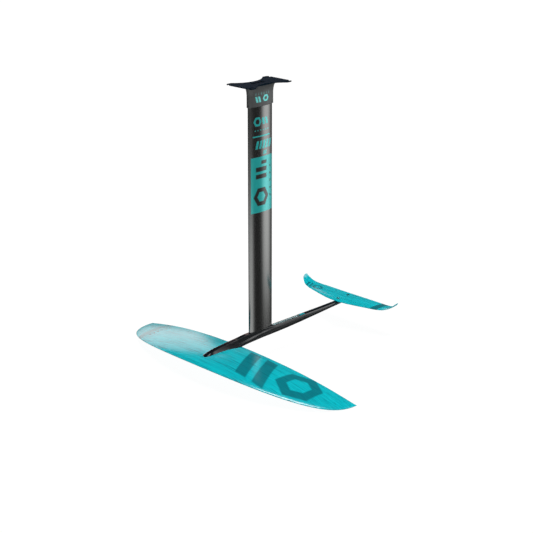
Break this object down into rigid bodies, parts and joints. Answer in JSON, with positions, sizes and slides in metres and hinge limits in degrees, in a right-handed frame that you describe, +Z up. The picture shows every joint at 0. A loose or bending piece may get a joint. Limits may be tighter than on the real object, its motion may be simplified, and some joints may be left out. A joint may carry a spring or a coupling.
{
  "type": "hydrofoil mast wing",
  "caption": "Hydrofoil that bolts under a board: a top plate, a hollow aerofoil mast, a slim fuselage, a wide arched front wing and a small stabiliser with curled-up tips.",
  "frame": {"origin": "middle of the mast's chord, in the top plate's upper face, where the part meets the board", "axes": "+X forward to the front wing and the fuselage's nose, +Y to port along the wings' span, +Z up into the board, out of the top plate's upper face"},
  "size_m": [0.7906, 0.9866, 0.9527],
  "materials": {
    "plate": "hard anodised, satin navy black",
    "collar": "painted, satin graphite, with printed teal shapes",
    "mast": "brushed and anodised graphite, with a printed teal panel",
    "block": "machined, plain",
    "rubber": "matte black",
    "fuselage": "anodised black, satin, with printed dashes on top",
    "laminate": "glossy teal resin over fine spanwise fibres",
    "foam": "closed-cell foam, matte cream",
    "hard_laminate": "dense glass-fibre laminate, matte",
    "steel": "blackened stainless steel, satin"
  },
  "bodies": {
    "root": {"top_plate": "plate", "mast_head_collar": "collar", "mast": "mast", "mast_head_block": "block", "mast_foot_block": "block", "mast_foot_gasket": "rubber", "fuselage": "fuselage", "front_wing_upper_skin": "laminate", "front_wing_lower_skin": "laminate", "front_wing_core": "foam", "front_wing_hard_block": "hard_laminate", "stabiliser": "laminate", "top_plate_screw_1": "steel", "mast_foot_screw_1": "steel", "front_wing_screw_1": "steel", "front_wing_insert_1": "steel", "top_plate_screw_2": "steel", "mast_foot_screw_2": "steel", "front_wing_screw_2": "steel", "front_wing_insert_2": "steel", "top_plate_screw_3": "steel", "mast_foot_screw_3": "steel", "front_wing_screw_3": "steel", "front_wing_insert_3": "steel", "stabiliser_screw_1": "steel", "stabiliser_insert_1": "steel", "stabiliser_screw_2": "steel", "stabiliser_insert_2": "steel"}
  },
  "joints": []
}
